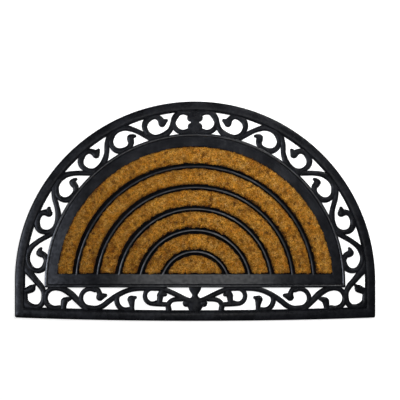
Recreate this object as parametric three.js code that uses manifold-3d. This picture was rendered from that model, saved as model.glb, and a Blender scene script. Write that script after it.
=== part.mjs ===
// Half round coir doormat: a moulded rubber frame with scrolls cut through it, and coir set into its pockets.
// Millimetres, +Z up. The underside lies at z = 0, the straight edge towards -Y and the round side towards +Y.
// Shapes are drawn from the centre of the outer arc, and the whole mat is then moved to its own middle.

import * as THREE from 'three';
import { mergeVertices } from 'three/addons/utils/BufferGeometryUtils.js';
import Module from 'manifold-3d';

// Outline: a half circle with short straight sides and a slightly bowed front edge
const OUTER_RADIUS = 375;
const CORNER_Y = -74.5;
const BOW_Y = -81.5;

// Raised rim round the outline
const RIM_WIDTH = 20.5;
const RIM_SIDE_WIDTH = 20.5;
const RIM_FRONT_WIDTH = 21.6;
const RIM_HEIGHT = 8;
const RIM_ROUND = 2.4;

// Panel that holds the coir: a half round plate with a raised lip along its edge
const PANEL_RADIUS = 313.3;
const PANEL_CENTRE_Y = -4;
const PANEL_FRONT_Y = -12.5;
const PANEL_HEIGHT = 6.4;
const LIP_WIDTH = 6.5;
const LIP_HEIGHT = 7.5;

// Coir field, its thin floor and the ribs that divide it
const FIELD_RADIUS = 287;
const FIELD_CENTRE_Y = -6;
const FIELD_FRONT_Y = 15.8;
const FLOOR_HEIGHT = 2.5;
const RIB_CENTRE_Y = -8;
const RIB_RADII = [70.5, 115.5, 160.5, 205, 248.5];
const RIB_WIDTH = 5;
const RIB_HEIGHT = 8.5;

// Coir: how far it stays from the middle of a rib, from the field's edge and from the field's front
const COIR_TOP = 10.5;
const COIR_SETBACK = 5.8;
const COIR_MARGIN = 0.6;
const COIR_FRONT_MARGIN = 1;
const CLEARANCE = 0.3;

// Scroll strands: the widths in the tables are of their flat tops, and the spread is what the rounded edges add
const STRAND_HEIGHT = 6;
const STRAND_SPREAD = 0.8;
const STEPS_PER_ROW = 2;
const END_STEPS = 4;
const LOBE_SIDES = 16;

// How far a straight side may fall inside the true arc, and how far pieces start below the underside before the cut
const ARC_ERROR = 0.16;
const SINK = 1;

// Scroll band round the arc: rows are along the band, outwards from its middle to 22 at its edges, and width.
// A loop starts at the foot of its stem. A head follows it, with a lobe on the side away from the loop.
const BAND_HALF = 22;
const STEM_END = -20;
const LEAN_FROM = -10;
const LEAN_DEPTH = 30;
const LOOP_FROM_RIM = [
  [-73, 26, 13], [-64, 20.5, 11.5], [-54.8, 13.5, 10.5], [-47.4, 6.5, 10.3], [-37, -6, 10.2], [-28.7, -13, 11],
  [-17.5, -19.5, 12.5], [-5.5, -21.4, 10.5], [5.2, -20.8, 9.8], [12.8, -17.3, 9.8], [19.2, -10.4, 9.8],
  [22, -1, 10.2], [21.4, 7, 11.2], [16.6, 14.4, 12], [8, 19.4, 12], [0, 20.8, 11],
];
const HEAD_FROM_RIM = [[-7, 19, 10.5], [-12.3, 14, 11.5], [-15, 7.5, 14], [-15.3, 3, 14.5]];
const LOBE_FROM_RIM = [[-17, 4.6, 14], [-22, 6.6, 10.5], [-25, 7.7, 6.5]];
const LOOP_FROM_PANEL = [
  [-68, 26, 12], [-61, 19.5, 10.5], [-56.2, 15, 10], [-49.4, 8, 10], [-42, 0, 10], [-34.8, -7, 10],
  [-26.4, -14.2, 11], [-17.5, -19.5, 12], [-5, -21, 10], [5.7, -18.9, 9.8], [14, -13.6, 9.8], [20.2, -7, 9.8],
  [22.8, 2.7, 10.2], [20.4, 12, 11.3], [13.3, 18.8, 12], [3, 21.3, 11],
];
const HEAD_FROM_PANEL = [[-4, 21, 10], [-10.5, 19, 10.5], [-16, 14, 12], [-17.5, 8, 13.5], [-19, 3.7, 13.5]];
const LOBE_FROM_PANEL = [[-21, 3.2, 12], [-26, 3.6, 8.5], [-29, 4.6, 5.5]];

// Scrolls from the top down: each one's angle round the arc, its stem's share of the full length and its lean
// along the band, its loop's lift outwards and its head's shift
const SCROLLS = [
  { angle: 75.67, stem: 0.8, lean: 6, lift: 1.4, shift: 0.5 },
  { angle: 62.36, stem: 1, lean: 1, lift: -0.8, shift: -1 },
  { angle: 49.37, stem: 1, lean: 4, lift: 0, shift: 0 },
  { angle: 35.59, stem: 1, lean: 0, lift: 0.6, shift: -0.5 },
  { angle: 21.93, stem: 1, lean: -4, lift: 0.3, shift: -2.5 },
  { angle: 7.79, stem: 1, lean: -1, lift: 0.3, shift: 4 },
];

// Loops drawn as arcs: centre, radius, the angles they run between and the strand's width
const TOP_LOOP = { x: 24.5, y: 332.5, radius: 21, from: 120, to: -120, width: 10.2 };
const CORNER_SIDE_LOOP = { x: 291.3, y: -34.7, radius: 21.2, from: -110, to: 90, width: 10 };
const MIDDLE_LOOP = { x: 218.5, y: -35, radius: 19.5, from: 120, to: -90, width: 9 };
const SMALL_LOOP = { x: 88.5, y: -30.3, radius: 16, from: 110, to: -120, width: 9 };
const LOOP_ROW_ANGLE = 24;

// Strands of the right half: rows are x, y and width
const CORNER_LOOP = [
  [358, 42, 12], [351.5, 27, 17], [341.5, 13.5, 13.5], [331.5, 1.5, 12], [322, -9.5, 11.5], [316, -21, 10],
  [315.5, -35, 10], [318.5, -45, 10.5], [326, -52.5, 11], [338, -53.5, 12.5], [349, -49.5, 15], [354, -42, 12.5],
  [355, -32, 11], [355, -22, 11],
];
const CORNER_HEAD = [[360, -24, 12], [350, -19, 14], [341, -15, 16]];
const CORNER_LOBE = [[340, -13, 12], [334, -7.5, 5]];
const CORNER_SIDE_STEM = [
  [291.3, -13.2, 10], [279, -15, 11], [268.5, -19.5, 12.5], [257, -27.8, 13], [246.5, -38.5, 12],
  [236.5, -48.5, 11], [227, -58, 10],
];
const CORNER_SIDE_HEAD = [[275, -62, 13], [274.5, -52, 11.5], [272.5, -41, 14.5]];
const CORNER_SIDE_LOBE = [[272, -39.5, 13], [266, -37.5, 10.5], [261, -36, 7]];
const MIDDLE_HEAD = [[209, -12, 10.5], [203.5, -17, 10], [199.5, -24, 10.5], [198.3, -32.3, 16]];
const MIDDLE_LOBE = [[197, -32, 15], [191, -30, 11], [187, -29, 7.5]];
const MIDDLE_STEM = [
  [98, -14.3, 10], [122, -15, 10], [140, -18.7, 10], [156, -25.5, 10.5], [170, -34, 11], [181, -42, 11],
  [192, -50.5, 11], [205, -55.5, 10], [218.5, -54.5, 9],
];
const INNER_LOOP = [
  [161, -28, 10], [163.5, -38, 10], [161, -48.5, 10], [154, -56.5, 10], [145, -59, 9.5], [135, -58, 10],
];
const INNER_HEAD = [[131.5, -64, 10], [131.5, -51, 9.5], [133, -37.5, 16]];
const INNER_LOBE = [[131, -35.5, 12], [124.5, -33.5, 6]];
const SMALL_LOOP_TAIL = [[88.5, -46.3, 9.5], [76, -47, 10], [60, -48, 9]];
const SMALL_LOOP_HEAD = [[75, -46, 11], [73.5, -38, 11.5], [72, -29, 13], [69, -20, 11]];
const SMALL_LOOP_LOBE = [[73, -29, 13], [67, -27, 10], [62, -27.5, 7]];
const CENTRE_STEM = [
  [92, -14.3, 10], [78, -14.5, 10], [66, -16.5, 10], [50, -22.5, 10], [34, -30, 10], [20, -37, 10], [6, -42, 10],
];
const CENTRE_STRUT = [
  [28, -36.5, 10], [40, -37.3, 9.5], [50, -40.5, 9], [56, -49, 10.5], [55, -57, 11.5], [55, -64, 12],
];

// Columns on the mat's axis, and the round lobes on their right side: rows are x, y and width
const TOP_COLUMN = [
  [0, 358, 34], [0, 351, 32], [0, 340, 24], [0, 332.5, 17], [0, 325, 24], [0, 315, 32], [0, 307, 36],
];
const FRONT_COLUMN = [
  [0, -9, 27], [0, -17, 23.5], [0, -22, 18], [0, -27, 12], [0, -31.5, 13], [0, -37, 26], [0, -46, 36],
  [0, -54, 30], [0, -62, 22],
];
const COLUMN_LOBES = [[8.3, 341.5, 16.8], [7.5, 323, 16], [18.3, -45.5, 15.4]];

const wasm = await Module();
wasm.setup();

// A closed three.js geometry as a solid
function solid(geometry) {
  const bare = geometry.clone();
  bare.deleteAttribute('normal');
  bare.deleteAttribute('uv');
  const merged = mergeVertices(bare, 1e-4);
  return new wasm.Manifold(new wasm.Mesh({
    numProp: 3,
    vertProperties: new Float32Array(merged.attributes.position.array),
    triVerts: new Uint32Array(merged.index.array),
  }));
}

// A solid back as a geometry
function geometryOf(body) {
  const mesh = body.getMesh();
  const geometry = new THREE.BufferGeometry();
  geometry.setAttribute('position', new THREE.BufferAttribute(new Float32Array(mesh.vertProperties), 3));
  geometry.setIndex(new THREE.BufferAttribute(new Uint32Array(mesh.triVerts), 1));
  geometry.computeVertexNormals();
  return geometry;
}

// Steps for a quarter of a circle
function arcSteps(radius) {
  return Math.ceil(Math.PI / 4 / Math.acos(1 - ARC_ERROR / radius));
}

// A flat shape raised from bottom to top with square edges
function raise(shape, bottom, top, radius) {
  const geometry = new THREE.ExtrudeGeometry(shape, {
    depth: top - bottom,
    bevelEnabled: false,
    curveSegments: arcSteps(radius),
  });
  geometry.translate(0, 0, bottom);
  return solid(geometry);
}

// A flat shape raised to a height with its top edges rounded; the rounded lower edges end below the underside
function raiseRounded(shape, height, round, radius) {
  const geometry = new THREE.ExtrudeGeometry(shape, {
    depth: height,
    bevelThickness: round,
    bevelSize: round,
    bevelOffset: -round,
    bevelSegments: 1,
    curveSegments: arcSteps(radius),
  });
  geometry.translate(0, 0, -round);
  return solid(geometry);
}

// Half round outline with straight sides and a bowed front edge
function outlineShape(radius, halfWidth, cornerY, bowY) {
  const shoulder = Math.acos(halfWidth / radius);
  const shape = new THREE.Shape();
  shape.moveTo(-halfWidth, cornerY);
  shape.quadraticCurveTo(0, 2 * bowY - cornerY, halfWidth, cornerY);
  shape.absarc(0, 0, radius, shoulder, Math.PI - shoulder, false);
  shape.closePath();
  return shape;
}

function rimShape() {
  const shape = outlineShape(OUTER_RADIUS, OUTER_RADIUS, CORNER_Y, BOW_Y);
  shape.holes.push(outlineShape(
    OUTER_RADIUS - RIM_WIDTH,
    OUTER_RADIUS - RIM_SIDE_WIDTH,
    CORNER_Y + RIM_FRONT_WIDTH,
    BOW_Y + RIM_FRONT_WIDTH,
  ));
  return shape;
}

// Half round panel, drawn in from its edge by an inset
function panelShape(inset) {
  const radius = PANEL_RADIUS - inset;
  const shape = new THREE.Shape();
  shape.moveTo(-radius, PANEL_FRONT_Y + inset);
  shape.lineTo(radius, PANEL_FRONT_Y + inset);
  shape.absarc(0, PANEL_CENTRE_Y, radius, 0, Math.PI, false);
  shape.closePath();
  return shape;
}

// Part of a disc that lies behind a front line
function segmentShape(centreY, radius, frontY) {
  const start = Math.asin((frontY - centreY) / radius);
  const shape = new THREE.Shape();
  shape.absarc(0, centreY, radius, start, Math.PI - start, false);
  shape.closePath();
  return shape;
}

// Arched band between two arcs, cut off at a front line
function bandShape(innerCentreY, innerRadius, outerCentreY, outerRadius, frontY) {
  const outerStart = Math.asin((frontY - outerCentreY) / outerRadius);
  const innerStart = Math.asin((frontY - innerCentreY) / innerRadius);
  const shape = new THREE.Shape();
  shape.absarc(0, outerCentreY, outerRadius, outerStart, Math.PI - outerStart, false);
  shape.absarc(0, innerCentreY, innerRadius, Math.PI - innerStart, innerStart, true);
  shape.closePath();
  return shape;
}

function panelBorderShape() {
  const shape = panelShape(0);
  shape.holes.push(segmentShape(FIELD_CENTRE_Y, FIELD_RADIUS, FIELD_FRONT_Y));
  return shape;
}

function lipShape() {
  const shape = panelShape(0);
  shape.holes.push(panelShape(LIP_WIDTH));
  return shape;
}

function ribShape(radius) {
  const half = RIB_WIDTH / 2;
  return bandShape(RIB_CENTRE_Y, radius - half, RIB_CENTRE_Y, radius + half, FIELD_FRONT_Y - half);
}

// Points along a strand, each with its place and width
function alongStrand(rows) {
  const points = rows.map(([x, y, width]) => new THREE.Vector3(x, y, width + STRAND_SPREAD));
  const curve = new THREE.CatmullRomCurve3(points, false, 'catmullrom', 0.5);
  return curve.getPoints((rows.length - 1) * STEPS_PER_ROW);
}

// Outline of a strand with round ends
function strandShape(rows) {
  const points = alongStrand(rows);
  const last = points.length - 1;
  const heading = points.map((point, i) => {
    const before = points[Math.max(i - 1, 0)];
    const after = points[Math.min(i + 1, last)];
    return Math.atan2(after.y - before.y, after.x - before.x);
  });
  const beside = (i, turn) => new THREE.Vector2(
    points[i].x + Math.cos(heading[i] + turn) * points[i].z / 2,
    points[i].y + Math.sin(heading[i] + turn) * points[i].z / 2,
  );
  const outline = points.map((_, i) => beside(i, -Math.PI / 2));
  for (let step = 1; step < END_STEPS; step += 1) {
    outline.push(beside(last, -Math.PI / 2 + Math.PI * step / END_STEPS));
  }
  points.forEach((_, i) => outline.push(beside(last - i, Math.PI / 2)));
  for (let step = 1; step < END_STEPS; step += 1) {
    outline.push(beside(0, Math.PI / 2 + Math.PI * step / END_STEPS));
  }
  return new THREE.Shape(outline);
}

function strand(rows) {
  return raise(strandShape(rows), -SINK, STRAND_HEIGHT, OUTER_RADIUS);
}

function lobe([x, y, width]) {
  const geometry = new THREE.CylinderGeometry(width / 2, width / 2, STRAND_HEIGHT + SINK, LOBE_SIDES);
  geometry.rotateX(Math.PI / 2);
  geometry.translate(x, y, (STRAND_HEIGHT - SINK) / 2);
  return solid(geometry);
}

// Rows of a loop that is a plain arc
function loopRows({ x, y, radius, from, to, width }) {
  const count = Math.round(Math.abs(to - from) / LOOP_ROW_ANGLE);
  return Array.from({ length: count + 1 }, (_, i) => {
    const angle = THREE.MathUtils.degToRad(from + (to - from) * i / count);
    return [x + radius * Math.cos(angle), y + radius * Math.sin(angle), width];
  });
}

// A loop's rows with its stem set to its length and leaned along the band, and its loop lifted
function stemAndLoop(rows, { stem, lean, lift }) {
  return rows.map(([along, out, width]) => {
    const leaned = along + lean * Math.max(0, out - LEAN_FROM) / LEAN_DEPTH;
    return along < STEM_END
      ? [STEM_END + (leaned - STEM_END) * stem, out, width]
      : [along, out + lift, width];
  });
}

function headRows(rows, { lift, shift }) {
  return rows.map(([along, out, width]) => [along + shift, out + lift, width]);
}

// Rows of one scroll bent round the arc, between the rim's edge and the panel's
function bentRows(rows, angle, outward) {
  const centre = THREE.MathUtils.degToRad(angle);
  const rimEdge = OUTER_RADIUS - RIM_WIDTH;
  const panelEdge = PANEL_RADIUS + PANEL_CENTRE_Y * Math.sin(centre);
  const middle = (rimEdge + panelEdge) / 2;
  const half = (rimEdge - panelEdge) / 2;
  return rows.map(([along, out, width]) => {
    const turn = centre - along / middle;
    const radius = middle + outward * out * half / BAND_HALF;
    return [radius * Math.cos(turn), radius * Math.sin(turn), width];
  });
}

// The main strand and the lobe of each scroll; every other one rolls from the panel, turned over
function bandScrolls() {
  return SCROLLS.flatMap((scroll, i) => {
    const fromPanel = i % 2 === 1;
    const loop = fromPanel ? LOOP_FROM_PANEL : LOOP_FROM_RIM;
    const head = fromPanel ? HEAD_FROM_PANEL : HEAD_FROM_RIM;
    const lobe = fromPanel ? LOBE_FROM_PANEL : LOBE_FROM_RIM;
    const strands = [[...stemAndLoop(loop, scroll), ...headRows(head, scroll)], headRows(lobe, scroll)];
    return strands.map((rows) => bentRows(rows, scroll.angle, fromPanel ? -1 : 1));
  });
}

function rightStrands() {
  return [
    ...bandScrolls(),
    ...[TOP_LOOP, CORNER_SIDE_LOOP, MIDDLE_LOOP, SMALL_LOOP].map(loopRows),
    CORNER_LOOP, CORNER_HEAD, CORNER_LOBE,
    CORNER_SIDE_STEM, CORNER_SIDE_HEAD, CORNER_SIDE_LOBE,
    MIDDLE_HEAD, MIDDLE_LOBE, MIDDLE_STEM,
    INNER_LOOP, INNER_HEAD, INNER_LOBE,
    SMALL_LOOP_TAIL, SMALL_LOOP_HEAD, SMALL_LOOP_LOBE,
    CENTRE_STEM, CENTRE_STRUT,
  ];
}

function joined(bodies) {
  return bodies.reduce((whole, body) => whole.add(body));
}

// The right half's strands, the same turned over for the left, and the columns between them
function scrollwork() {
  const right = joined([...rightStrands().map(strand), ...COLUMN_LOBES.map(lobe)]);
  const mirror = new THREE.Matrix4().makeScale(-1, 1, 1);
  const leftGeometry = geometryOf(right).applyMatrix4(mirror);
  leftGeometry.index.array.reverse();
  return joined([right, solid(leftGeometry), strand(TOP_COLUMN), strand(FRONT_COLUMN)]);
}

// Everything below the underside, to be cut off
function ground() {
  const depth = 20;
  const geometry = new THREE.BoxGeometry(3 * OUTER_RADIUS, 3 * OUTER_RADIUS, depth);
  geometry.translate(0, 0, -depth / 2);
  return solid(geometry);
}

function rubberGeometry() {
  const body = joined([
    raise(panelShape(LIP_WIDTH / 2), -SINK, FLOOR_HEIGHT, PANEL_RADIUS),
    raise(panelBorderShape(), -SINK, PANEL_HEIGHT, PANEL_RADIUS),
    raise(lipShape(), -SINK, LIP_HEIGHT, PANEL_RADIUS),
    raiseRounded(rimShape(), RIM_HEIGHT, RIM_ROUND, OUTER_RADIUS),
    ...RIB_RADII.map((radius) => raise(ribShape(radius), -SINK, RIB_HEIGHT, radius)),
    scrollwork(),
  ]);
  return geometryOf(body.subtract(ground()));
}

// Coir pieces lie a little clear of the floor, and leave the open channels that run beside the ribs
function coirPiece(shape, radius) {
  return geometryOf(raise(shape, FLOOR_HEIGHT + CLEARANCE, COIR_TOP, radius));
}

function coirHalfDisc() {
  const radius = RIB_RADII[0] - COIR_SETBACK;
  return coirPiece(segmentShape(RIB_CENTRE_Y, radius, FIELD_FRONT_Y + COIR_FRONT_MARGIN), radius);
}

function coirBand(number) {
  const outermost = number === RIB_RADII.length;
  const outerCentreY = outermost ? FIELD_CENTRE_Y : RIB_CENTRE_Y;
  const outerRadius = outermost ? FIELD_RADIUS - COIR_MARGIN : RIB_RADII[number] - COIR_SETBACK;
  const innerRadius = RIB_RADII[number - 1] + COIR_SETBACK;
  const frontY = FIELD_FRONT_Y + COIR_FRONT_MARGIN;
  return coirPiece(bandShape(RIB_CENTRE_Y, innerRadius, outerCentreY, outerRadius, frontY), outerRadius);
}

const rubber = new THREE.MeshStandardMaterial({ color: 0x26262a, roughness: 0.62, metalness: 0 });
const coir = new THREE.MeshStandardMaterial({ color: 0x91642a, roughness: 0.95, metalness: 0 });

const mat = new THREE.Group();
mat.position.y = -(OUTER_RADIUS + BOW_Y) / 2;

function addPiece(name, geometry, material) {
  const piece = new THREE.Mesh(geometry, material);
  piece.name = name;
  mat.add(piece);
}

addPiece('rubber_frame', rubberGeometry(), rubber);
addPiece('coir_half_disc', coirHalfDisc(), coir);
RIB_RADII.forEach((_, i) => addPiece(`coir_band_${i + 1}`, coirBand(i + 1), coir));

const group = new THREE.Group();
group.add(mat);

export default group;
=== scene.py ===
"""Looks of the half round coir doormat: a rubber moulding with scrollwork, and coir pile in its pockets.

Shapes are worked out in millimetres from the centre of the mat's outer arc, as in the part's own source,
and become metres in the row frame when they turn into a mesh.
"""

import math

import bmesh
import bpy
import numpy as np
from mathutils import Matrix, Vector


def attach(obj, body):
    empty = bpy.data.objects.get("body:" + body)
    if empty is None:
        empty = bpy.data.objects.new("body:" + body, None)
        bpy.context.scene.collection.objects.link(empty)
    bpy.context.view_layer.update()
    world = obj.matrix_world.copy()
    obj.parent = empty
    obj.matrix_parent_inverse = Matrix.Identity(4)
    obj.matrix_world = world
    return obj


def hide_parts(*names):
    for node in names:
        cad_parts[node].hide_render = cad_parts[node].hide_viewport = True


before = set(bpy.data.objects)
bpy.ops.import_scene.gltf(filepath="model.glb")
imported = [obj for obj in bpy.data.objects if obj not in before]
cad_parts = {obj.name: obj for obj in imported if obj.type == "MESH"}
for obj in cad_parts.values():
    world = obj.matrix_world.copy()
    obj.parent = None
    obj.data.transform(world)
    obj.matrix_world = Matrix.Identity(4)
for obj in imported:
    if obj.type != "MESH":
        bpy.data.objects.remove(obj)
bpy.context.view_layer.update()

MM_PER_METRE = 1000

# Camera: straight above, with the frame's middle and its scale at the mat's edge measured in the photo
FRAME_PIXELS = 400
MM_PER_PIXEL = 2.0826
FRAME_MIDDLE = (10.3, 23.25)
EDGE_HEIGHT = 4.8
LENS = 70
SENSOR = 36
CLIP = (0.1, 100)

# Outline and rim
OUTER_RADIUS = 375
CORNER_Y = -74.5
BOW_Y = -81.5
MIDDLE_Y = (OUTER_RADIUS + BOW_Y) / 2
OUTER_CORNER = 4
INNER_CORNER = 2
RIM_WIDTH = 20.5
RIM_SIDE_WIDTH = 20.5
RIM_FRONT_WIDTH = 21.6

# Panel, its lip and the coir field
PANEL_RADIUS = 313.3
PANEL_CENTRE_Y = -4
PANEL_FRONT_Y = -12.5
PANEL_HEIGHT = 6.4
PANEL_INSET = 3
PANEL_MIDDLE = (0, 120)
LIP_WIDTH = 6.5
LIP_CORNER = 3
LIP_GROOVE_OUTSIDE = 1.4
LIP_GROOVE_INSIDE = 1.9
FIELD_RADIUS = 287
FIELD_CENTRE_Y = -6
FIELD_FRONT_Y = 15.8

# Steps along the outlines, and the angles round their corners
ARC_STEPS = 120
SIDE_STEPS = 4
FRONT_STEPS = 60
CORNER_TURN = np.radians([0, 22, 45, 68, 90])
FIELD_ARC_STEPS = 160
FIELD_FRONT_STEPS = 40

# Heights of the panel and its pocket, with how far the outline opens out at each
PANEL_LEVELS = [(0, 0), (PANEL_HEIGHT, 0)]
POCKET_LEVELS = [(2.5, 0), (5.5, 0), (6.1, 0.25), (PANEL_HEIGHT, 0.9), (9, 1)]

# Mouldings and the grooves beside them: rows are the share of the way inwards and the height
RIM_PROFILE = [
    (-0.02, 0), (-0.02, 4.8), (0.01, 6), (0.06, 6.9), (0.14, 7.45), (0.26, 7.8), (0.42, 8), (0.56, 8),
    (0.68, 7.85), (0.79, 7.5), (0.88, 6.8), (0.94, 5.8), (0.98, 4.6), (1, 0),
]
RIM_GROOVE = [(0.84, 9), (0.86, 5.6), (0.89, 4.4), (0.92, 4.4), (0.95, 5.4), (0.98, 9)]
LIP_PROFILE = [
    (0, 0), (0, 5), (0.04, 6.2), (0.14, 7), (0.3, 7.4), (0.5, 7.5), (0.7, 7.4), (0.86, 7), (0.96, 6.2),
    (1, 5.2), (1, 0),
]
LIP_GROOVE = [(0.08, 9), (0.08, 5.6), (0.5, 4.6), (0.92, 5.6), (0.92, 9)]

# Ribs: flat on top, dropping to the sides, and shifted a little towards the middle from the solids' ribs
RIB_CENTRE_Y = -8
RIB_RADII = [70.5, 115.5, 160.5, 205, 248.5]
RIB_SHIFTS = [0, 0.4, 1.1, 0.9, 0.8]
RIB_WIDTH = 5
RIB_HEIGHT = 8.5
RIB_FLAT = 1.2
RIB_FLAT_EDGE = 0.1
RIB_DROP = 2.2
RIB_TURN = np.radians([8, 24, 42, 62, 90])
RIB_FOOT = 1
RIB_END = 1
RIB_STEP = 6
RIB_LEAST_STEPS = 16

# Strands of the scrollwork, and the angles across their tops and round their ends
STRAND_HEIGHT = 6
STRAND_DROP = 3.4
STRAND_SPREAD = 0.8
STEPS_PER_ROW = 4
ACROSS = np.sin(np.radians([-90, -72, -52, -32, -12, 12, 32, 52, 72, 90]))
END_ANGLES = np.radians([84, 66, 44, 22])
BUTTON_RINGS = np.sin(np.radians([90, 72, 54, 36, 18]))
BUTTON_STEPS = 24

# Band of scrolls: half its depth in the tables' own measure, and where a stem ends and starts to lean
BAND_HALF = 22
STEM_END = -20
LEAN_FROM = -10
LEAN_DEPTH = 30

# Rows are along the band, outwards from its middle to 22 at its edges, and the strand's width.
# A loop starts at its stem's foot; a head follows it, with a lobe on the side away from the loop.
LOOP_FROM_RIM = [
    (-73, 26, 13), (-64, 20.5, 11.5), (-54.8, 13.5, 10.5), (-47.4, 6.5, 10.3), (-37, -6, 10.2),
    (-28.7, -13, 11), (-17.5, -19.5, 12.5), (-5.5, -21.4, 10.5), (5.2, -20.8, 9.8), (12.8, -17.3, 9.8),
    (19.2, -10.4, 9.8), (22, -1, 10.2), (21.4, 7, 11.2), (16.6, 14.4, 12), (8, 19.4, 12), (0, 20.8, 11),
]
HEAD_FROM_RIM = [(-7, 19, 10.5), (-12.3, 14, 11.5), (-15, 7.5, 14), (-15.3, 3, 14.5)]
LOBE_FROM_RIM = [(-17, 4.6, 14), (-22, 6.6, 10.5), (-25, 7.7, 6.5)]
LOOP_FROM_PANEL = [
    (-68, 26, 12), (-61, 19.5, 10.5), (-56.2, 15, 10), (-49.4, 8, 10), (-42, 0, 10), (-34.8, -7, 10),
    (-26.4, -14.2, 11), (-17.5, -19.5, 12), (-5, -21, 10), (5.7, -18.9, 9.8), (14, -13.6, 9.8),
    (20.2, -7, 9.8), (22.8, 2.7, 10.2), (20.4, 12, 11.3), (13.3, 18.8, 12), (3, 21.3, 11),
]
HEAD_FROM_PANEL = [(-4, 21, 10), (-10.5, 19, 10.5), (-16, 14, 12), (-17.5, 8, 13.5), (-19, 3.7, 13.5)]
LOBE_FROM_PANEL = [(-21, 3.2, 12), (-26, 3.6, 8.5), (-29, 4.6, 5.5)]
SCROLL_ROWS = [
    (LOOP_FROM_RIM, HEAD_FROM_RIM, LOBE_FROM_RIM),
    (LOOP_FROM_PANEL, HEAD_FROM_PANEL, LOBE_FROM_PANEL),
]

# Scrolls from the top down: each one's angle round the arc, its stem's share of the full length,
# its stem's lean along the band, its loop's lift outwards and its head's shift
SCROLLS = [
    (75.67, 0.8, 6, 1.4, 0.5), (62.36, 1, 1, -0.8, -1), (49.37, 1, 4, 0, 0),
    (35.59, 1, 0, 0.6, -0.5), (21.93, 1, -4, 0.3, -2.5), (7.79, 1, -1, 0.3, 4),
]

# Loops that are plain arcs: x, y, radius, first and last angle, width
ARC_LOOPS = [
    (24.5, 332.5, 21, 120, -120, 10.2),
    (291.3, -34.7, 21.2, -110, 90, 10),
    (218.5, -35, 19.5, 120, -90, 9),
    (88.5, -30.3, 16, 110, -120, 9),
]
LOOP_ROW_ANGLE = 24

# Strands of the right half: rows are x, y and width
CORNER_STRANDS = [
    [(358, 42, 12), (351.5, 27, 17), (341.5, 13.5, 13.5), (331.5, 1.5, 12), (322, -9.5, 11.5),
     (316, -21, 10), (315.5, -35, 10), (318.5, -45, 10.5), (326, -52.5, 11), (338, -53.5, 12.5),
     (349, -49.5, 15), (354, -42, 12.5), (355, -32, 11), (355, -22, 11)],
    [(360, -24, 12), (350, -19, 14), (341, -15, 16)],
    [(340, -13, 12), (334, -7.5, 5)],
    [(291.3, -13.2, 10), (279, -15, 11), (268.5, -19.5, 12.5), (257, -27.8, 13), (246.5, -38.5, 12),
     (236.5, -48.5, 11), (227, -58, 10)],
    [(275, -62, 13), (274.5, -52, 11.5), (272.5, -41, 14.5)],
    [(272, -39.5, 13), (266, -37.5, 10.5), (261, -36, 7)],
]
FRONT_STRANDS = [
    [(209, -12, 10.5), (203.5, -17, 10), (199.5, -24, 10.5), (198.3, -32.3, 16)],
    [(197, -32, 15), (191, -30, 11), (187, -29, 7.5)],
    [(98, -14.3, 10), (122, -15, 10), (140, -18.7, 10), (156, -25.5, 10.5), (170, -34, 11), (181, -42, 11),
     (192, -50.5, 11), (205, -55.5, 10), (218.5, -54.5, 9)],
    [(161, -28, 10), (163.5, -38, 10), (161, -48.5, 10), (154, -56.5, 10), (145, -59, 9.5), (135, -58, 10)],
    [(131.5, -64, 10), (131.5, -51, 9.5), (133, -37.5, 16)],
    [(131, -35.5, 12), (124.5, -33.5, 6)],
    [(88.5, -46.3, 9.5), (76, -47, 10), (60, -48, 9)],
    [(75, -46, 11), (73.5, -38, 11.5), (72, -29, 13), (69, -20, 11)],
    [(73, -29, 13), (67, -27, 10), (62, -27.5, 7)],
    [(92, -14.3, 10), (78, -14.5, 10), (66, -16.5, 10), (50, -22.5, 10), (34, -30, 10), (20, -37, 10),
     (6, -42, 10)],
    [(28, -36.5, 10), (40, -37.3, 9.5), (50, -40.5, 9), (56, -49, 10.5), (55, -57, 11.5), (55, -64, 12)],
]
TOP_COLUMN = [
    (0, 358, 34), (0, 351, 32), (0, 340, 24), (0, 332.5, 17), (0, 325, 24), (0, 315, 32), (0, 307, 36),
]
FRONT_COLUMN = [
    (0, -9, 27), (0, -17, 23.5), (0, -22, 18), (0, -27, 12), (0, -31.5, 13), (0, -37, 26), (0, -46, 36),
    (0, -54, 30), (0, -62, 22),
]
COLUMN_LOBES = [(8.3, 341.5, 16.8), (7.5, 323, 16), (18.3, -45.5, 15.4)]

# Gaps beside the coir pieces, inside each rib, and the pieces' corners and wavy edges
OUTSIDE_RIB = 5.3
INSIDE_RIB = [7.4, 7.2, 6.3, 5.5, 4.9]
COIR_RADIUS = 287
COIR_FRONT_Y = 16.9
COIR_CORNER = 5
EDGE_WAVE = 0.5
EDGE_WAVES = [(0.31, 0.13), (0.17, -0.29)]

# On the left, the coir outside each rib is drawn back, and painted shade darkens it at its edge
LEFT_START = 20
LEFT_REACH = 110
LEFT_GAP = 2.2
LEFT_PAINTED_SHADE = 0.35
PAINTED_SHADE_REACH = 3.5

# Backing under the fibres, and its share of a piece's map
BACKING_BOTTOM = 2.8
BACKING_TOP = 7.4
BACKING_STEP = 2.4
BACKING_INSET = 1.6
BACKING_ROUGHNESS = 0.5
BACKING_TONE = 0.35
BACKING_PAINTED_SHADE_RISE = 0.2
BACKING_SHARE = 0.14
BACKING_FILL = 0.96
MAP_MARGIN = 0.005
MAP_FILL = 0.99

# Tufts: how far apart they stand, how wide they splay, and how much one differs from the next
TUFT_SPACING = 5.8
TUFT_SPLAY = 0.22
TUFT_LEAN = 0.9
TUFT_RISE = 0.45
TUFT_TONE = 0.165
TUFT_TINT = 0.16

# Fibres: how they stand, and how much one differs from the next
FIBRE_SPACING = 1.12
FIBRE_WIDTH = 0.82
FIBRE_WIDTH_RANGE = (0.7, 1.35)
ROOT_TAPER = 1.15
TIP_TAPER = 0.75
FIBRE_ROOT = 6.2
FIBRE_TOP = 9.7
FIBRE_TOP_RANGE = (8.2, 11)
FIBRE_LEAN = 0.9
FIBRE_RISE = 0.4
FIBRE_TONE = 0.52
FIBRE_TONE_RANGE = 0.11
FIBRE_TINT = 0.5
FIBRE_TINT_RANGE = 0.25
FIRST_SEED = 100

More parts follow.
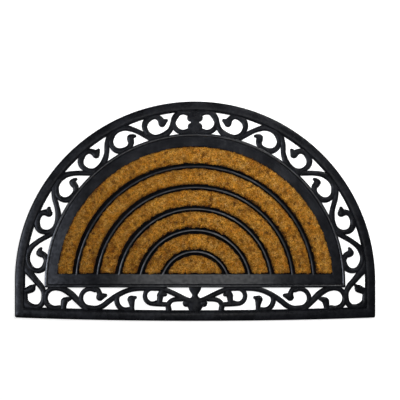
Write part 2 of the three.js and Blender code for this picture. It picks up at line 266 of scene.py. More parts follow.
# Each fibre's cell in the map: its margin, what it fills, and the share of its height for an end
CELL_MARGIN = 0.12
CELL_FILL = 0.76
CAP_SHARE = 0.2

# Towards a piece's edge the fibres are more upright, lower and rooted deeper, and painted shade darkens them
EDGE_SOFTNESS = 2.2
EDGE_UPRIGHT = 0.5
EDGE_DROP = 1.8
EDGE_ROOT = 3
EDGE_PAINTED_SHADE = 0.22

# How high a fibre's tip is for the material, which paints shade towards the roots and light on the taller
# tips from it: its value at the low height, and what it gains over the span
TIP_LOW = 8.6
TIP_SPAN = 2
TIP_BASE = 0.55
TIP_GAIN = 0.45
TIP_RANGE = (0.4, 1)

# Finish of the rubber in its pockets, on the rim and scrolls, on the panel, and on top of the ridges; in the
# pockets it also darkens the colour as painted shade
POCKET, DULL, SATIN, RIDGE = 0, 0.33, 0.67, 1
PANEL_SLACK = 0.1
FIELD_SLACK = 0.3
RIB_TOP_DEPTH = 0.4
RIDGE_STEP = 0.2

# Edges over the angle stay sharp, and the panel's faces that are level to within the slack are flat
SHARP_ANGLE = 50
LEVEL_NORMAL = 0.9999
LEVEL_SLACK = 0.01

# Colours
FIBRE_COLOURS = [
    (0.0, (0.06, 0.017, 0.002)), (0.25, (0.26, 0.1, 0.008)), (0.55, (0.485, 0.227, 0.02)),
    (0.8, (0.635, 0.343, 0.044)), (1.0, (0.8, 0.52, 0.12)),
]
FIBRE_TINTS = [(0.0, (1.1, 0.8, 0.35)), (0.5, (1.0, 1.0, 1.0)), (1.0, (0.95, 1.14, 3.2))]
PATCH_CONTRAST = 0.36
RUBBER_COLOURS = [(0.3, (0.0022, 0.0023, 0.0029)), (0.7, (0.0042, 0.0045, 0.006))]

# Light: places and sizes in metres, power in watts
WHITE = (1, 1, 1)
COOL = (0.85, 0.92, 1.1)
SKY = (0.95, 0.97, 1, 1)
SKY_STRENGTH = 0.07
KEY_PLACE = (0.2, 0.35, 0.75)
KEY_SIZE = (0.5, 0.5)
KEY_POWER = 15.2
CENTRE = (0, 0, 0)

# Pale boards that only show in the rubber's gloss: name, place, aim, size, brightness and colour
BOARDS = [
    ("sheen", (0.006, -0.154, 2), (0.006, -0.154, 0), (0.66, 0.44), 2.85, WHITE),
    ("ceiling", (0, 0, 2.3), CENTRE, (2.4, 2.4), 0.11, (0.9, 0.97, 1.15)),
    ("corner", (0.74, 1.29, 1.34), CENTRE, (0.5, 0.5), 9, WHITE),
    ("side", (-1.05, -0.24, 2), (-1.05, -0.24, 0), (0.8, 0.56), 1.6, COOL),
    ("left", (-1.75, -0.25, 1.8), CENTRE, (1.1, 1.1), 8, COOL),
]
WALL_DISTANCE = 2.6
WALL_HEIGHT = 1.1
WALL_SIZE = (3, 1.4)
WALL_BRIGHTNESS = 0.12

# Floor: a plain pale ground just under the mat, reaching past the horizon
FLOOR_REACH = 60
FLOOR_HEIGHT = -0.0005
FLOOR_GREY = (0.35, 0.35, 0.35, 1)
FLOOR_GLOW = 0.82


def row_frame(points):
    """Millimetres from the outer arc's centre as metres in the row frame."""
    return (np.asarray(points, float) - (0, MIDDLE_Y, 0)) / MM_PER_METRE


def add_object(name, data):
    """A new object in the scene."""
    made = bpy.data.objects.new(name, data)
    bpy.context.scene.collection.objects.link(made)
    return made


def mesh_object(name, points, faces):
    """A closed mesh with its faces turned outwards."""
    mesh = bpy.data.meshes.new(name)
    mesh.from_pydata(row_frame(points).tolist(), [], faces)
    body = bmesh.new()
    body.from_mesh(mesh)
    if body.calc_volume(signed=True) < 0:
        mesh.flip_normals()
    body.free()
    return add_object(name, mesh)


def loft(name, sections, closed):
    """A skin over sections that each run round a closed profile; an open row of sections gets flat ends."""
    sections = np.asarray(sections, float)
    count, around = sections.shape[:2]
    faces = []
    for i in range(count if closed else count - 1):
        a, b = i * around, (i + 1) % count * around
        for j in range(around):
            k = (j + 1) % around
            faces.append((a + j, a + k, b + k, b + j))
    if not closed:
        faces.append(tuple(range(around))[::-1])
        faces.append(tuple(range((count - 1) * around, count * around)))
    return mesh_object(name, sections.reshape(-1, 3), faces)


# Strands

def along(rows, steps):
    """Points on a smooth curve through rows of x, y and width."""
    rows = np.array(rows, float)
    ends = np.vstack([2 * rows[0] - rows[1], rows, 2 * rows[-1] - rows[-2]])
    t = np.arange(steps)[:, None] / steps
    parts = []
    for before, a, b, after in zip(ends[:-3], ends[1:-2], ends[2:-1], ends[3:]):
        leave, arrive = (b - before) / 2, (after - a) / 2
        cubic = 2 * a - 2 * b + leave + arrive
        square = 3 * b - 3 * a - 2 * leave - arrive
        parts.append(cubic * t**3 + square * t**2 + leave * t + a)
    return np.vstack([*parts, rows[-1:]])


def strand(rows):
    """A strand with a rounded top and round ends."""
    line = along(rows, STEPS_PER_ROW)
    way = np.gradient(line[:, :2], axis=0)
    way /= np.linalg.norm(way, axis=1)[:, None]
    stations = [(line[0], way[0], -angle) for angle in END_ANGLES]
    stations += [(place, ahead, 0) for place, ahead in zip(line, way)]
    stations += [(line[-1], way[-1], angle) for angle in END_ANGLES[::-1]]
    sections = []
    for (x, y, width), (dx, dy), angle in stations:
        half = (width + STRAND_SPREAD) / 2
        x, y = x + dx * half * math.sin(angle), y + dy * half * math.sin(angle)
        side = ACROSS * half * math.cos(angle)
        top = STRAND_HEIGHT - STRAND_DROP * (1 - math.cos(angle) * np.sqrt(1 - ACROSS**2))
        points = [(x - dy * s, y + dx * s, z) for s, z in zip(side, top)]
        points += [(x - dy * s, y + dx * s, 0) for s in (side[-1], side[0])]
        sections.append(points)
    return loft("strand", sections, False)


def button(x, y, width):
    """A round boss with a domed top."""
    turn = np.linspace(0, 2 * math.pi, BUTTON_STEPS, endpoint=False)
    rings = [(width / 2, 0)]
    for out in BUTTON_RINGS:
        rings.append((width / 2 * out, STRAND_HEIGHT - STRAND_DROP * (1 - math.sqrt(1 - out**2))))
    sections = [[(x + r * math.cos(t), y + r * math.sin(t), z) for t in turn] for r, z in rings]
    return loft("button", sections, False)


def stem_and_loop(rows, scroll):
    """A loop's rows with its stem set to its length and leaned along the band, and its loop lifted."""
    _, stem, lean, lift, _ = SCROLLS[scroll]
    found = []
    for reach, out, width in rows:
        if reach < STEM_END:
            reach += lean * max(0, out - LEAN_FROM) / LEAN_DEPTH
            reach = STEM_END + (reach - STEM_END) * stem
        else:
            out += lift
        found.append((reach, out, width))
    return found


def head(rows, scroll):
    """A head's or a lobe's rows, lifted with the loop and shifted along the band."""
    *_, lift, shift = SCROLLS[scroll]
    return [(reach + shift, out + lift, width) for reach, out, width in rows]


def bent(rows, scroll):
    """Rows of one scroll bent round the arc, between the rim's edge and the panel's."""
    angle = math.radians(SCROLLS[scroll][0])
    rim_edge = OUTER_RADIUS - RIM_WIDTH
    panel_edge = PANEL_RADIUS + PANEL_CENTRE_Y * math.sin(angle)
    middle, half = (rim_edge + panel_edge) / 2, (rim_edge - panel_edge) / 2
    outward = -1 if scroll % 2 else 1
    found = []
    for reach, out, width in rows:
        turn = angle - reach / middle
        radius = middle + outward * out * half / BAND_HALF
        found.append((radius * math.cos(turn), radius * math.sin(turn), width))
    return found


def band_scroll(scroll):
    """The main strand and the lobe of one scroll of the band."""
    loop, end, lobe = SCROLL_ROWS[scroll % 2]
    return [bent(stem_and_loop(loop, scroll) + head(end, scroll), scroll), bent(head(lobe, scroll), scroll)]


def arc_rows(x, y, radius, first, last, width):
    """Rows of a loop that is a plain arc."""
    count = round(abs(last - first) / LOOP_ROW_ANGLE)
    angles = np.radians(np.linspace(first, last, count + 1))
    return [(x + radius * math.cos(a), y + radius * math.sin(a), width) for a in angles]


def right_rows():
    """Rows of every strand of the right half."""
    rows = [arc_rows(*loop) for loop in ARC_LOOPS] + CORNER_STRANDS + FRONT_STRANDS
    for scroll in range(len(SCROLLS)):
        rows += band_scroll(scroll)
    return rows


def scrollwork():
    """Every strand and boss, those of the right half also turned over for the left."""
    made = [strand(TOP_COLUMN), strand(FRONT_COLUMN)]
    for rows in right_rows():
        made += [strand(rows), strand([(-x, y, width) for x, y, width in rows])]
    for x, y, width in COLUMN_LOBES:
        made += [button(x, y, width), button(-x, y, width)]
    return made


# Rim, lip, ribs and panel

def half_round(half_width, arc_centre, radius, corner_y, bow_y, corner_radius):
    """Points once round a half round outline, anticlockwise from the arc's right end."""
    points = []
    for angle in np.linspace(0, math.pi, ARC_STEPS + 1):
        reach = min(radius, half_width / max(abs(math.cos(angle)), 1e-9))
        points.append((reach * math.cos(angle), arc_centre + reach * math.sin(angle)))
    bow = (corner_y - bow_y) / half_width**2
    inner = half_width - corner_radius
    corner = []
    for turn in CORNER_TURN:
        x, y = inner + corner_radius * math.cos(turn), corner_y + corner_radius * (1 - math.sin(turn))
        corner.append((x, y))
    drop = corner_y + corner_radius - arc_centre
    side = [(half_width, arc_centre + drop * i / SIDE_STEPS) for i in range(1, SIDE_STEPS)]
    front = [(x, bow_y + bow * x * x) for x in np.linspace(-inner, inner, FRONT_STEPS + 1)[1:-1]]
    points += [(-x, y) for x, y in side + corner]
    points += front + corner[::-1] + side[::-1]
    return np.array(points)


def ring(name, outer, inner, profile):
    """A moulding between two outlines: profile rows are the share of the way inwards and the height."""
    sections = [[(*(a + (b - a) * share), z) for share, z in profile] for a, b in zip(outer, inner)]
    return loft(name, sections, True)


def rim_outlines():
    """The rim's outer and inner outline."""
    half_width, radius = OUTER_RADIUS - RIM_SIDE_WIDTH, OUTER_RADIUS - RIM_WIDTH
    corner_y, bow_y = CORNER_Y + RIM_FRONT_WIDTH, BOW_Y + RIM_FRONT_WIDTH
    outer = half_round(OUTER_RADIUS, 0, OUTER_RADIUS, CORNER_Y, BOW_Y, OUTER_CORNER)
    return outer, half_round(half_width, 0, radius, corner_y, bow_y, INNER_CORNER)


def lip_outlines(outset, inset):
    """Two outlines beside the panel's edge, one outside it and one inside."""
    outlines = []
    for d in (-outset, inset):
        radius, front_y = PANEL_RADIUS - d, PANEL_FRONT_Y + d
        outlines.append(half_round(radius, PANEL_CENTRE_Y, radius, front_y, front_y, LIP_CORNER))
    return outlines


def rib_profile():
    """Distance from a rib's middle line and height, from its outer foot over the top to its inner foot."""
    half, flat = RIB_WIDTH / 2, RIB_FLAT / 2
    slope = []
    for turn in RIB_TURN:
        slope.append((flat + (half - flat) * math.sin(turn), RIB_HEIGHT - RIB_DROP * (1 - math.cos(turn))))
    outer = [(flat - RIB_FLAT_EDGE, RIB_HEIGHT), (flat, RIB_HEIGHT), *slope, (half, RIB_FOOT)]
    return outer[::-1] + [(-out, z) for out, z in outer]


def rib(radius):
    """One arched rib across the field, with its ends in the panel's front."""
    start = math.asin((FIELD_FRONT_Y - RIB_END - RIB_CENTRE_Y) / radius)
    count = max(RIB_LEAST_STEPS, round(radius * (math.pi - 2 * start) / RIB_STEP))
    profile = rib_profile()
    sections = []
    for angle in np.linspace(start, math.pi - start, count + 1):
        c, s = math.cos(angle), math.sin(angle)
        sections.append([((radius + out) * c, RIB_CENTRE_Y + (radius + out) * s, z) for out, z in profile])
    return loft("rib", sections, False)


def prism(name, outline, levels):
    """An outline raised through levels, with a fan of faces from its middle at each end."""
    outline = np.asarray(outline, float)
    away = outline - PANEL_MIDDLE
    away /= np.linalg.norm(away, axis=1)[:, None]
    around = len(outline)
    points = [(*(place + way * out), z) for z, out in levels for place, way in zip(outline, away)]
    points += [(*PANEL_MIDDLE, levels[0][0]), (*PANEL_MIDDLE, levels[-1][0])]
    faces = []
    top = (len(levels) - 1) * around
    for i in range(around):
        k = (i + 1) % around
        faces += [(low + i, low + k, low + around + k, low + around + i) for low in range(0, top, around)]
        faces += [(k, i, top + around), (top + i, top + k, top + around + 1)]
    return mesh_object(name, points, faces)


def field_outline():
    """The edge of the pocket that holds the coir."""
    start = math.asin((FIELD_FRONT_Y - FIELD_CENTRE_Y) / FIELD_RADIUS)
    angles = np.linspace(start, math.pi - start, FIELD_ARC_STEPS + 1)
    arc = [(FIELD_RADIUS * math.cos(a), FIELD_CENTRE_Y + FIELD_RADIUS * math.sin(a)) for a in angles]
    front = np.linspace(arc[-1][0], arc[0][0], FIELD_FRONT_STEPS + 1)[1:-1]
    return arc + [(x, FIELD_FRONT_Y) for x in front]


def joined(parts, operation="UNION"):
    """The first part with all the others joined to it, or cut from it, as one closed mesh."""
    first, *rest = parts
    tools = bpy.data.collections.new("tools")
    for part in rest:
        tools.objects.link(part)
    change = first.modifiers.new("join", "BOOLEAN")
    change.operation = operation
    change.solver = "MANIFOLD"
    change.operand_type = "COLLECTION"
    change.collection = tools
    changed = first.evaluated_get(bpy.context.evaluated_depsgraph_get())
    made = add_object(first.name, bpy.data.meshes.new_from_object(changed))
    for part in parts:
        bpy.data.objects.remove(part)
    bpy.data.collections.remove(tools)
    return made


def rubber_body():
    """Panel with its pocket, rim and scrolls, less the grooves, with the lip and the ribs over them."""
    panel = prism("panel", lip_outlines(0, PANEL_INSET)[1], PANEL_LEVELS)
    panel = joined([panel, prism("pocket", field_outline(), POCKET_LEVELS)], "DIFFERENCE")
    body = joined([panel, ring("rim", *rim_outlines(), RIM_PROFILE), *scrollwork()])
    rim_groove = ring("rim_groove", *rim_outlines(), RIM_GROOVE)
    beside_lip = lip_outlines(LIP_GROOVE_OUTSIDE, LIP_WIDTH + LIP_GROOVE_INSIDE)
    body = joined([body, rim_groove, ring("lip_groove", *beside_lip, LIP_GROOVE)], "DIFFERENCE")
    lip = ring("lip", *lip_outlines(0, LIP_WIDTH), LIP_PROFILE)
    ribs = [rib(radius - shift) for radius, shift in zip(RIB_RADII, RIB_SHIFTS)]
    return joined([body, lip, *ribs])


def mark_finish(mesh):
    """Give every point the finish of the rubber there, which in the pockets also sets painted shade."""
    points = np.empty(len(mesh.vertices) * 3)
    mesh.vertices.foreach_get("co", points)
    x, y, z = (points.reshape(-1, 3) * MM_PER_METRE + (0, MIDDLE_Y, 0)).T
    in_panel = np.hypot(x, y - PANEL_CENTRE_Y) < PANEL_RADIUS + PANEL_SLACK
    on_panel = in_panel & (y > PANEL_FRONT_Y - PANEL_SLACK) & (z > STRAND_HEIGHT)
    in_field = np.hypot(x, y - FIELD_CENTRE_Y) < FIELD_RADIUS + FIELD_SLACK
    in_pocket = in_field & (y > FIELD_FRONT_Y - FIELD_SLACK) & (z < RIB_HEIGHT - RIB_TOP_DEPTH)
    panel_finish = np.where(z > PANEL_HEIGHT + RIDGE_STEP, RIDGE, SATIN)
    finish_and_shade = np.where(in_pocket, POCKET, np.where(on_panel, panel_finish, DULL))
    mesh.attributes.new("finish_and_shade", "FLOAT", "POINT").data.foreach_set("value", finish_and_shade)


def smooth_all_but_panel(mesh):
    """Smooth shading up to sharp edges, with the panel's level faces left flat."""
    mesh.shade_smooth()
    mesh.set_sharp_from_angle(angle=math.radians(SHARP_ANGLE))
    for face in mesh.polygons:
        off_panel = abs(face.center.z * MM_PER_METRE - PANEL_HEIGHT) > LEVEL_SLACK
        face.use_smooth = face.normal.z < LEVEL_NORMAL or off_panel


def rubber_piece():
    """The rubber moulding, in place of its CAD node."""
    piece = rubber_body()
    piece.name = piece.data.name = "rubber_moulding"
    piece.data.materials.clear()
    smooth_all_but_panel(piece.data)
    mark_finish(piece.data)
    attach(piece, "root")
    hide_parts("rubber_frame")
    return piece


# Coir: a dark, uneven backing with short leaning fibres on it, in tufts

def spots(low, high, spacing, rng):
    """Evenly spread but unevenly placed points over a rectangle, on a grid."""
    counts = [math.ceil((b - a) / spacing) for a, b in zip(low, high)]
    grid = np.stack(np.meshgrid(*map(np.arange, counts), indexing="ij"), axis=-1)
    return np.array(low) + (grid + rng.random(grid.shape)) * spacing


def arc_behind(front, centre_y, radius, steps):
    """Points along the part of an arc that lies behind a front line, from right to left."""
    start = math.asin((front - centre_y) / radius)
    angle = np.linspace(start, math.pi - start, steps + 1)
    return np.stack([radius * np.cos(angle), centre_y + radius * np.sin(angle)], axis=-1)


class Region:
    """The ground plan of one coir piece: between two arcs and behind the front line."""

    def __init__(self, number):
        self.inner = (RIB_CENTRE_Y, RIB_RADII[number - 1] + OUTSIDE_RIB) if number else None
        self.outer = (FIELD_CENTRE_Y, COIR_RADIUS)
        if number < len(RIB_RADII):
            self.outer = (RIB_CENTRE_Y, RIB_RADII[number] - INSIDE_RIB[number])

    def past_rib(self, x, y):
        """How far points lie beyond the rib inside the piece, and how far left they are, from 0 to 1."""
        left = np.clip((-x - LEFT_START) / LEFT_REACH, 0, 1)
        return np.hypot(x, y - self.inner[0]) - self.inner[1] - LEFT_GAP * left, left

    def painted_shade(self, x, y):
        """How much painted shade darkens the fibres at the drawn back edge on the left."""
        if not self.inner:
            return np.zeros(len(x))
        past, left = self.past_rib(x, y)
        return left * np.exp(-past / PAINTED_SHADE_REACH)

    def depth(self, x, y):
        """How far inside the piece's wavy outline points lie; the front corners are rounded."""
        front, side = y - COIR_FRONT_Y, self.outer[1] - np.hypot(x, y - self.outer[0])
        if self.inner:
            side = np.minimum(side, self.past_rib(x, y)[0])
        corner = np.hypot(np.maximum(COIR_CORNER - front, 0), np.maximum(COIR_CORNER - side, 0))
        wave = sum((0.5 * np.sin(a * x + b * y) for a, b in EDGE_WAVES), start=1)
        return np.where(corner > 0, COIR_CORNER - corner, side) - EDGE_WAVE * wave

    def plan(self, along_steps, across_steps):
        """Points on a grid that runs along the piece and across it, a little inside its outline."""
        front = COIR_FRONT_Y + BACKING_INSET
        far = arc_behind(front, self.outer[0], self.outer[1] - BACKING_INSET, along_steps)
        near = far * (1, 0) + (0, front)
        if self.inner:
            near = arc_behind(front, self.inner[0], self.inner[1] + LEFT_GAP + BACKING_INSET, along_steps)
        step = np.linspace(0, 1, across_steps + 1)[None, :, None]
        return near[:, None] + (far - near)[:, None] * step


def slab_triangles(rows, columns):
    """The top, the bottom and the rim of a slab over a grid, with its lower points after its upper ones."""
    count = rows * columns
    index = np.arange(count).reshape(rows, columns)
    a, b, c, d = index[:-1, :-1], index[1:, :-1], index[1:, 1:], index[:-1, 1:]
    top = np.concatenate([np.stack([a, c, b], -1).reshape(-1, 3), np.stack([a, d, c], -1).reshape(-1, 3)])
    bottom = top[:, ::-1] + count
    rim = np.concatenate([index[:, 0], index[-1, 1:], index[-2::-1, -1], index[0, -2:0:-1]])
    after = np.roll(rim, -1)
    side = [np.stack([rim, after, after + count], -1), np.stack([rim, after + count, rim + count], -1)]
    return np.concatenate([top, bottom, *side])


def backing(region, rng):
    """Closed slab under the fibres: points, triangles, map places, and each point's tone, tint and height."""
    radius = region.outer[1]
    depth = radius - (region.inner[1] if region.inner else 0)
    plan = region.plan(round(radius * math.pi / BACKING_STEP), round(depth / BACKING_STEP))
    rows, columns = plan.shape[:2]
    rough = rng.normal(0, BACKING_ROUGHNESS, (rows, columns))
    top = np.dstack([plan, BACKING_TOP + rough])
    bottom = np.dstack([plan, np.full((rows, columns), BACKING_BOTTOM)])
    points = np.concatenate([top.reshape(-1, 3), bottom.reshape(-1, 3)])
    triangles = slab_triangles(rows, columns)
    share = np.stack(np.meshgrid(np.linspace(0, 1, rows), np.linspace(0, 1, columns), indexing="ij"), axis=-1)
    place = (MAP_MARGIN + MAP_FILL * share) * (1, BACKING_SHARE * BACKING_FILL)
    place = np.tile(place.reshape(-1, 2), (2, 1))
    # Painted shade: the backing is lighter where it stands higher and darker in its dips
    tone = np.tile(BACKING_TONE + BACKING_PAINTED_SHADE_RISE * rough.ravel(), 2)
    looks = np.stack([tone, np.full(len(tone), FIBRE_TINT), np.zeros(len(tone))])
    return points, triangles, place[triangles], looks


def nearest_tuft(places, tufts, low):
    """Grid position of the tuft whose centre lies nearest to each place."""
    cell = ((places - low) / TUFT_SPACING).astype(int)
    best, found = np.full(len(places), np.inf), np.zeros_like(cell)
    for i in (-1, 0, 1):
        for j in (-1, 0, 1):
            near = np.clip(cell + (i, j), 0, np.array(tufts.shape[:2]) - 1)
            gap = ((places - tufts[near[:, 0], near[:, 1]]) ** 2).sum(1)
            closer = gap < best
            best[closer], found[closer] = gap[closer], near[closer]
    return found


def bristles(start, end, rng):
    """Points and triangles of a tapered three-sided bristle from each start to its end, turned at random."""
    count = len(start)
    way = (end - start) / np.linalg.norm(end - start, axis=1)[:, None]
    beside = np.cross(way, (0.0, 0.0, 1.0))
    upright = np.linalg.norm(beside, axis=1) < 1e-3
    beside += upright[:, None] * (1.0, 0.0, 0.0)
    beside /= np.linalg.norm(beside, axis=1)[:, None]
    other = np.cross(way, beside)
    turn = rng.random(count) * 2 * math.pi
    thick = FIBRE_WIDTH / 2 * rng.uniform(*FIBRE_WIDTH_RANGE, count)
    rings = []
    for centre, taper in ((start, ROOT_TAPER), (end, TIP_TAPER)):
        for k in range(3):
            angle = turn + k * 2 * math.pi / 3
            out = beside * np.cos(angle)[:, None] + other * np.sin(angle)[:, None]
            rings.append(centre + out * (thick * taper)[:, None])
    sides = [(k, (k + 1) % 3, 3 + (k + 1) % 3) for k in range(3)]
    sides += [(k, 3 + (k + 1) % 3, 3 + k) for k in range(3)]
    pattern = np.array(sides + [(2, 1, 0), (3, 4, 5)])
    triangles = (pattern + 6 * np.arange(count)[:, None, None]).reshape(-1, 3)
    return np.stack(rings, axis=1).reshape(-1, 3), triangles


def bristle_map(count):
    """Map places of the bristles' triangles, each bristle in its own cell beyond the backing's share."""
    corner = [[(k, 0), (k + 1, 0), (k + 1, 1)] for k in range(3)]
    corner += [[(k, 0), (k + 1, 1), (k, 1)] for k in range(3)]
    corner += [[(0, 0), (1, 0), (0, CAP_SHARE)], [(1, 1 - CAP_SHARE), (2, 1), (2, 1 - CAP_SHARE)]]
    corner = np.array(corner, float) * (1 / 3, 1)
    columns = math.ceil(math.sqrt(count / (1 - BACKING_SHARE)))
    cell = np.stack([np.arange(count) % columns, np.arange(count) // columns], axis=-1)
    size = np.array([1 / columns, (1 - BACKING_SHARE) / math.ceil(count / columns)])
    place = (cell[:, None, None] + CELL_MARGIN + CELL_FILL * corner) * size + (0, BACKING_SHARE)
    return place.reshape(-1, 3, 2)


def fibres(region, rng):
    """The pile on the backing, given like the backing."""
    reach = region.outer[1]
    low, high = (-reach, COIR_FRONT_Y), (reach, region.outer[0] + reach)
    root = spots(low, high, FIBRE_SPACING, rng).reshape(-1, 2)
    root = root[region.depth(*root.T) > 0]
    tufts = spots(low, high, TUFT_SPACING, rng)
    tuft_lean = rng.normal(0, TUFT_LEAN, tufts.shape)
    tuft_tone = TUFT_TONE - rng.exponential(TUFT_TONE, tufts.shape[:2])
    tuft_rise = rng.normal(0, TUFT_RISE, tufts.shape[:2])
    tuft_tint = rng.normal(0, TUFT_TINT, tufts.shape[:2])
    tuft = tuple(nearest_tuft(root, tufts, low).T)
    count = len(root)
    edge = np.exp(-region.depth(*root.T) / EDGE_SOFTNESS)
    lean = tuft_lean[tuft] + TUFT_SPLAY * (root - tufts[tuft]) + rng.normal(0, FIBRE_LEAN, (count, 2))
    lean *= (1 - EDGE_UPRIGHT * edge)[:, None]
    top = FIBRE_TOP + tuft_rise[tuft] + rng.normal(0, FIBRE_RISE, count)
    top = np.clip(top, *FIBRE_TOP_RANGE) - EDGE_DROP * edge
    start = np.column_stack([root, FIBRE_ROOT - EDGE_ROOT * edge + rng.random(count)])
    points, triangles = bristles(start, np.column_stack([root + lean, top]), rng)
    tone = FIBRE_TONE + tuft_tone[tuft] + rng.normal(0, FIBRE_TONE_RANGE, count)
    # Painted shade: fibres darker towards each piece's edge, and at the drawn back edges on the left
    tone = tone - EDGE_PAINTED_SHADE * edge - LEFT_PAINTED_SHADE * region.painted_shade(*root.T)
    tint = FIBRE_TINT + tuft_tint[tuft] + rng.normal(0, FIBRE_TINT_RANGE, count)
    tip = np.clip(TIP_BASE + TIP_GAIN * (top - TIP_LOW) / TIP_SPAN, *TIP_RANGE)
    height = np.column_stack([np.zeros((count, 3)), tip, tip, tip]).ravel()
    looks = np.stack([np.repeat(tone, 6), np.repeat(tint, 6), height])
    return points, triangles, bristle_map(count), looks


def coir_mesh(name, points, triangles, place, looks):
    """A mesh with its map and with each point's tone, tint and height."""
    mesh = bpy.data.meshes.new(name)
    mesh.vertices.add(len(points))
    mesh.vertices.foreach_set("co", row_frame(points).ravel())
    mesh.loops.add(triangles.size)
    mesh.loops.foreach_set("vertex_index", triangles.ravel())
    mesh.polygons.add(len(triangles))
    mesh.polygons.foreach_set("loop_start", np.arange(0, triangles.size, 3))
    mesh.update(calc_edges=True)
    mesh.uv_layers.new(name="OFBake").data.foreach_set("uv", place.ravel())
    for label, values in zip(("tone", "tint", "up"), looks):
        mesh.attributes.new(label, "FLOAT", "POINT").data.foreach_set("value", values)
    return mesh


def coir_piece(number):
    """One coir piece, its backing and its fibres in one mesh, in place of its CAD node."""
    region = Region(number)
    rng = np.random.default_rng(FIRST_SEED + number)
    slab, pile = backing(region, rng), fibres(region, rng)
    points = np.concatenate([slab[0], pile[0]])
    triangles = np.concatenate([slab[1], pile[1] + len(slab[0])])
    place = np.concatenate([slab[2], pile[2]])
    looks = np.concatenate([slab[3], pile[3]], axis=1)
    node = f"coir_band_{number}" if number else "coir_half_disc"
    name = node.replace("coir", "coir_pile")
    piece = add_object(name, coir_mesh(name, points, triangles, place, looks))
    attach(piece, "root")
    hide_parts(node)
    return piece


# Materials

class Material:
    """A new material, with short ways to add nodes, each of which gives the output of its node."""

    def __init__(self, name):
        self.made = bpy.data.materials.new(name)
        self.made.use_nodes = True
        self.nodes = self.made.node_tree.nodes
        self.links = self.made.node_tree.links
        self.shader = self.nodes["Principled BSDF"]

    def set(self, name, value):
        """Set one of the shader's own inputs."""
        self.shader.inputs[name].default_value = value

    def link(self, output, name):
        """Link an output to one of the shader's inputs."""
        self.links.new(output, self.shader.inputs[name])

    def noise(self, scale, detail):
        """Noise that is fixed to the piece."""
        place = self.nodes.new("ShaderNodeTexCoord")
        made = self.nodes.new("ShaderNodeTexNoise")
        made.inputs["Scale"].default_value = scale
        made.inputs["Detail"].default_value = detail
        self.links.new(place.outputs["Object"], made.inputs["Vector"])
        return made.outputs["Fac"]

    def point_value(self, name):
        """A value that the mesh gives for each of its points."""
        made = self.nodes.new("ShaderNodeAttribute")
        made.attribute_name = name
        return made.outputs["Fac"]

    def colours(self, factor, stops):
        """Colours that change with a factor."""
        made = self.nodes.new("ShaderNodeValToRGB")
        elements = made.color_ramp.elements
        while len(elements) < len(stops):
            elements.new(0.5)
        for element, (position, colour) in zip(elements, stops):
            element.position = position
            element.color = (*colour, 1)
        self.links.new(factor, made.inputs["Fac"])
        return made.outputs["Color"]

    def values(self, factor, stops):
        """Plain values that change with a factor."""
        return self.colours(factor, [(position, (value, value, value)) for position, value in stops])

    def product(self, a, b):
        """Two outputs multiplied."""
        mix = self.nodes.new("ShaderNodeMix")
        mix.data_type = "RGBA"
        mix.blend_type = "MULTIPLY"
        mix.inputs["Factor"].default_value = 1
        self.links.new(a, mix.inputs[6])
        self.links.new(b, mix.inputs[7])
        return mix.outputs[2]

    def shifted(self, base, change, contrast):
        """A value raised and lowered by another that varies round a half, by up to half the contrast."""
        lower = self.nodes.new("ShaderNodeMath")
        lower.operation = "SUBTRACT"
        lower.inputs[1].default_value = contrast / 2
        self.links.new(base, lower.inputs[0])
        shift = self.nodes.new("ShaderNodeMath")
        shift.operation = "MULTIPLY_ADD"
        shift.inputs[1].default_value = contrast
        self.links.new(change, shift.inputs[0])
        self.links.new(lower.outputs[0], shift.inputs[2])
        return shift.outputs[0]

    def bump(self, height, strength, distance):
        """A surface normal from a height."""
        made = self.nodes.new("ShaderNodeBump")
        made.inputs["Strength"].default_value = strength
        made.inputs["Distance"].default_value = distance
        self.links.new(height, made.inputs["Height"])
        return made.outputs["Normal"]


def coir_material():
    """Coconut fibre: painted shade makes it brown in the depth and painted light golden at the tips, with
    paler and redder fibres among the rest.
    """
    coir = Material("coir")
    coir.set("Roughness", 0.85)
    coir.set("Specular IOR Level", 0.2)
    patch = coir.noise(scale=55, detail=3)
    tone = coir.shifted(coir.point_value("tone"), patch, PATCH_CONTRAST)
    tint = coir.colours(coir.point_value("tint"), FIBRE_TINTS)
    tinted = coir.product(coir.colours(tone, FIBRE_COLOURS), tint)
    # Painted shade at the fibres' roots and on the backing, painted light on the taller tips
    painted_shade_and_tip_light = coir.values(coir.point_value("up"), [(0.0, 0.3), (0.5, 0.85), (1.0, 1.15)])
    coir.link(coir.product(tinted, painted_shade_and_tip_light), "Base Color")
    return coir.made


def rubber_material():
    """Black rubber: dull and darkened by painted shade in the pockets, dull on the rim and scrolls, satin on
    the panel and its ridges.
    """
    rubber = Material("rubber")
    finish_and_shade = rubber.point_value("finish_and_shade")
    cloud = rubber.noise(scale=35, detail=4)
    speck = rubber.noise(scale=150, detail=3)
    grain = rubber.noise(scale=1400, detail=2)
    # Painted shade: the colour is darkened in the pockets
    painted_shade = rubber.values(finish_and_shade, [(POCKET, 0.4), (0.3, 1.0)])
    rubber.link(rubber.product(rubber.colours(cloud, RUBBER_COLOURS), painted_shade), "Base Color")
    gloss = rubber.values(finish_and_shade, [(POCKET, 0.1), (DULL, 0.19), (SATIN, 0.47), (RIDGE, 0.68)])
    worn = rubber.values(cloud, [(0.35, 0.85), (0.65, 1.15)])
    dulled = rubber.product(worn, rubber.values(speck, [(0.4, 1.2), (0.62, 0.65)]))
    rubber.set("Specular IOR Level", 0.3)
    rubber.link(rubber.product(gloss, dulled), "Specular IOR Level")
    rough = rubber.values(finish_and_shade, [(POCKET, 0.8), (DULL, 0.28), (SATIN, 0.14), (RIDGE, 0.16)])
    smudge = rubber.values(cloud, [(0.35, 0.85), (0.65, 1.4)])
    rubber.link(rubber.product(rough, smudge), "Roughness")
    rubber.link(rubber.bump(grain, strength=0.25, distance=0.0001), "Normal")
    return rubber.made


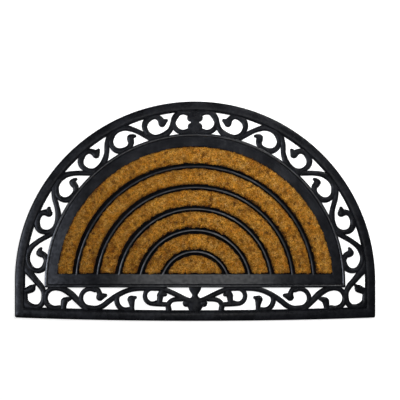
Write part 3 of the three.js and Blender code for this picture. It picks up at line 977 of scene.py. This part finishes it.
def floor_material():
    """A plain pale ground with a little light of its own."""
    floor = Material("floor")
    floor.set("Base Color", FLOOR_GREY)
    floor.set("Roughness", 0.9)
    floor.set("Emission Color", (*WHITE, 1))
    floor.set("Emission Strength", FLOOR_GLOW)
    return floor.made


# Camera, floor and light

def add_camera():
    """The camera, high enough that its frame takes in what the photo does."""
    data = bpy.data.cameras.new("camera")
    data.lens, data.sensor_width = LENS, SENSOR
    data.clip_start, data.clip_end = CLIP
    height = FRAME_PIXELS * MM_PER_PIXEL * LENS / SENSOR + EDGE_HEIGHT
    camera = add_object("camera", data)
    camera.location = np.array([*FRAME_MIDDLE, height]) / MM_PER_METRE
    bpy.context.scene.camera = camera


def add_floor():
    """The ground, which is part of the stage and not of the mat."""
    corners = np.array([(-1, -1, 0), (1, -1, 0), (1, 1, 0), (-1, 1, 0)]) * FLOOR_REACH
    mesh = bpy.data.meshes.new("floor")
    mesh.from_pydata((corners + (0, 0, FLOOR_HEIGHT)).tolist(), [], [(0, 1, 2, 3)])
    mesh.materials.append(floor_material())
    floor = add_object("floor", mesh)
    floor.visible_glossy = False


def add_world():
    """Faint even light from all sides."""
    world = bpy.data.worlds.new("world")
    world.use_nodes = True
    sky = world.node_tree.nodes["Background"]
    sky.inputs["Color"].default_value = SKY
    sky.inputs["Strength"].default_value = SKY_STRENGTH
    bpy.context.scene.world = world


def add_light(name, place, aim, size, power, colour=WHITE):
    """A rectangular light that the camera doesn't see."""
    data = bpy.data.lights.new(name, "AREA")
    data.shape = "RECTANGLE"
    data.size, data.size_y = size
    data.energy, data.color = power, colour
    light = add_object(name, data)
    light.location = place
    light.rotation_euler = (Vector(aim) - Vector(place)).to_track_quat("-Z", "Y").to_euler()
    light.visible_camera = False
    return light


def add_board(name, place, aim, size, brightness, colour=WHITE):
    """A pale board that only shows in the rubber's gloss."""
    power = brightness * math.pi * size[0] * size[1]
    add_light(name, place, aim, size, power, colour).visible_diffuse = False


def add_walls():
    """Four dim boards round the mat, for its gloss at low angles."""
    for azimuth in np.radians([0, 90, 180, 270]):
        place = (WALL_DISTANCE * math.cos(azimuth), WALL_DISTANCE * math.sin(azimuth), WALL_HEIGHT)
        add_board("wall", place, CENTRE, WALL_SIZE, WALL_BRIGHTNESS)


rubber = rubber_piece()
rubber.data.materials.append(rubber_material())
coir = coir_material()
coir_pieces = [coir_piece(number) for number in range(len(RIB_RADII) + 1)]
for piece in coir_pieces:
    piece.data.materials.append(coir)

add_camera()
add_floor()
add_world()
add_light("key", KEY_PLACE, CENTRE, KEY_SIZE, KEY_POWER).visible_glossy = False
for board in BOARDS:
    add_board(*board)
add_walls()
bpy.context.scene.view_settings.view_transform = "Standard"
